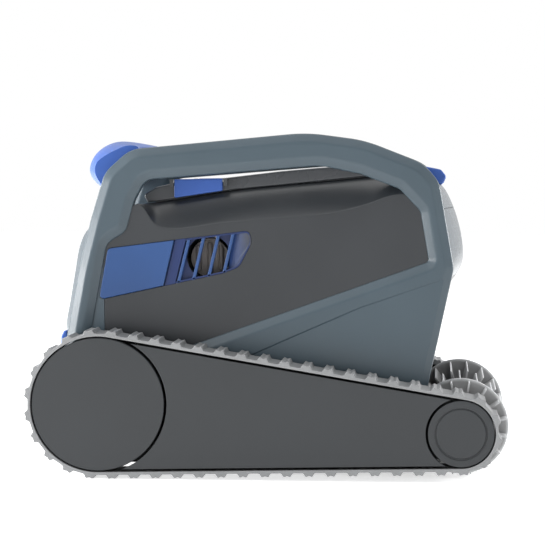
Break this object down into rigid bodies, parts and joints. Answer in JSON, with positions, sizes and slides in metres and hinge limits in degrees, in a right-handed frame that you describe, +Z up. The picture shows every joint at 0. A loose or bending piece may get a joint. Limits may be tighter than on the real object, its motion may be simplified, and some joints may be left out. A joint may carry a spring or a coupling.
{
  "type": "robotic pool cleaner",
  "caption": "Two-track robotic pool cleaner with arched side frames, carrying grip, hinged filter lid, side water jets and a front scrubbing brush.",
  "frame": {"origin": "centre of the bounding box's underside, on the floor the machine stands on", "axes": "+X towards the brush end, +Y to the machine's left, +Z up"},
  "size_m": [0.4314, 0.41, 0.3077],
  "materials": {
    "teal_plastic": "satin teal-grey",
    "charcoal_plastic": "fine-grained charcoal",
    "slate_plastic": "satin slate grey",
    "blue_plastic": "glossy blue",
    "black_plastic": "matte black",
    "white_plastic": "off-white",
    "screen_mesh": "fine woven filter screen",
    "soft_rubber": "thin flexible flap",
    "belt_rubber": "mid-grey moulded rubber",
    "brush_rubber": "grey soft PVC",
    "steel": "stainless"
  },
  "bodies": {
    "chassis": {"hull_tub": "black_plastic", "hull_shell": "charcoal_plastic", "rear_fascia": "teal_plastic", "front_fascia": "teal_plastic", "front_visor": "teal_plastic", "suction_plate": "charcoal_plastic", "floor_screw_1": "steel", "floor_screw_2": "steel", "floor_screw_3": "steel", "floor_screw_4": "steel", "rear_trim": "blue_plastic", "front_trim": "blue_plastic", "cable_gland": "black_plastic", "side_frame_right": "teal_plastic", "side_frame_left": "teal_plastic", "grip": "blue_plastic", "lid_hinge_pin": "steel", "jet_panel_right": "blue_plastic", "jet_panel_left": "blue_plastic", "pump_housing": "black_plastic", "jet_duct_right": "black_plastic", "jet_duct_left": "black_plastic", "motor_unit": "black_plastic", "filter_basket": "white_plastic", "filter_screen_right": "screen_mesh", "filter_screen_left": "screen_mesh", "filter_screen_rear": "screen_mesh", "filter_screen_front": "screen_mesh", "track_belt_right": "belt_rubber", "track_belt_left": "belt_rubber", "track_plate_right": "black_plastic", "track_plate_left": "black_plastic", "track_cover_right": "charcoal_plastic", "track_cover_left": "charcoal_plastic", "front_axle_right": "steel", "front_axle_left": "steel"},
    "lid": {"lid": "slate_plastic", "latch_pin_right": "steel", "latch_pin_left": "steel"},
    "lid_latch_right": {"lid_latch_right": "blue_plastic"},
    "lid_latch_left": {"lid_latch_left": "blue_plastic"},
    "jet_flap_right": {"jet_flap_right": "slate_plastic"},
    "jet_flap_left": {"jet_flap_left": "slate_plastic"},
    "impeller": {"impeller": "white_plastic"},
    "inlet_flap_right": {"inlet_flap_right": "soft_rubber"},
    "inlet_flap_left": {"inlet_flap_left": "soft_rubber"},
    "rear_wheel_right": {"rear_wheel_right": "charcoal_plastic", "drive_axle_right": "steel"},
    "rear_wheel_left": {"rear_wheel_left": "charcoal_plastic", "drive_axle_left": "steel"},
    "front_wheel_right": {"front_wheel_right": "charcoal_plastic"},
    "front_wheel_left": {"front_wheel_left": "charcoal_plastic"},
    "brush": {"brush_core": "black_plastic", "brush_disc_right": "brush_rubber", "brush_disc_left": "brush_rubber", "brush_vanes_inner_right": "brush_rubber", "brush_vanes_inner_left": "brush_rubber", "brush_vanes_end_right": "brush_rubber", "brush_vanes_end_left": "brush_rubber"}
  },
  "joints": [
    {"name": "lid_hinge", "type": "hinge", "parent": "chassis", "child": "lid", "pos_m": [0.10019, 0, 0.27562], "axis": [0, 1, 0], "range_deg": [0, 75]},
    {"name": "latch_right_hinge", "type": "hinge", "parent": "lid", "child": "lid_latch_right", "pos_m": [-0.06858, -0.12375, 0.26378], "axis": [-0.9997, 0, -0.0227], "range_deg": [0, 35], "stiffness_Nm_per_rad": 0.02, "springref_deg": -17.19},
    {"name": "jet_flap_right_hinge", "type": "hinge", "parent": "chassis", "child": "jet_flap_right", "pos_m": [-0.05728, -0.127, 0.21112], "axis": [-0.9997, 0, -0.0227], "range_deg": [0, 16]},
    {"name": "inlet_flap_right_hinge", "type": "hinge", "parent": "chassis", "child": "inlet_flap_right", "pos_m": [0.04081, -0.015, 0.07162], "axis": [-0.9997, 0, -0.0227], "range_deg": [0, 75]},
    {"name": "rear_wheel_right_spin", "type": "hinge", "parent": "chassis", "child": "rear_wheel_right", "pos_m": [-0.14981, 0, 0.06608], "axis": [0, 1, 0], "continuous": true},
    {"name": "front_wheel_right_spin", "type": "hinge", "parent": "chassis", "child": "front_wheel_right", "pos_m": [0.17218, 0, 0.0436], "axis": [0, 1, 0], "continuous": true},
    {"name": "latch_left_hinge", "type": "hinge", "parent": "lid", "child": "lid_latch_left", "pos_m": [-0.06858, 0.12375, 0.26378], "axis": [0.9997, 0, 0.0227], "range_deg": [0, 35], "stiffness_Nm_per_rad": 0.02, "springref_deg": -17.19},
    {"name": "jet_flap_left_hinge", "type": "hinge", "parent": "chassis", "child": "jet_flap_left", "pos_m": [-0.05728, 0.127, 0.21112], "axis": [0.9997, 0, 0.0227], "range_deg": [0, 16]},
    {"name": "inlet_flap_left_hinge", "type": "hinge", "parent": "chassis", "child": "inlet_flap_left", "pos_m": [0.04081, 0.015, 0.07162], "axis": [0.9997, 0, 0.0227], "range_deg": [0, 75]},
    {"name": "rear_wheel_left_spin", "type": "hinge", "parent": "chassis", "child": "rear_wheel_left", "pos_m": [-0.14981, 0, 0.06608], "axis": [0, 1, 0], "continuous": true},
    {"name": "front_wheel_left_spin", "type": "hinge", "parent": "chassis", "child": "front_wheel_left", "pos_m": [0.17218, 0, 0.0436], "axis": [0, 1, 0], "continuous": true},
    {"name": "brush_spin", "type": "hinge", "parent": "chassis", "child": "brush", "pos_m": [0.17218, 0, 0.0436], "axis": [0, 1, 0], "continuous": true},
    {"name": "impeller_spin", "type": "hinge", "parent": "chassis", "child": "impeller", "pos_m": [-0.05594, 0, 0.15204], "axis": [-0.0227, 0, 0.9997], "continuous": true}
  ],
  "couplings": [
    {"joint": "front_wheel_right_spin", "follows": "rear_wheel_right_spin", "ratio": 1.977},
    {"joint": "front_wheel_left_spin", "follows": "rear_wheel_left_spin", "ratio": 1.977},
    {"joint": "brush_spin", "follows": "rear_wheel_right_spin", "ratio": 1.977}
  ]
}
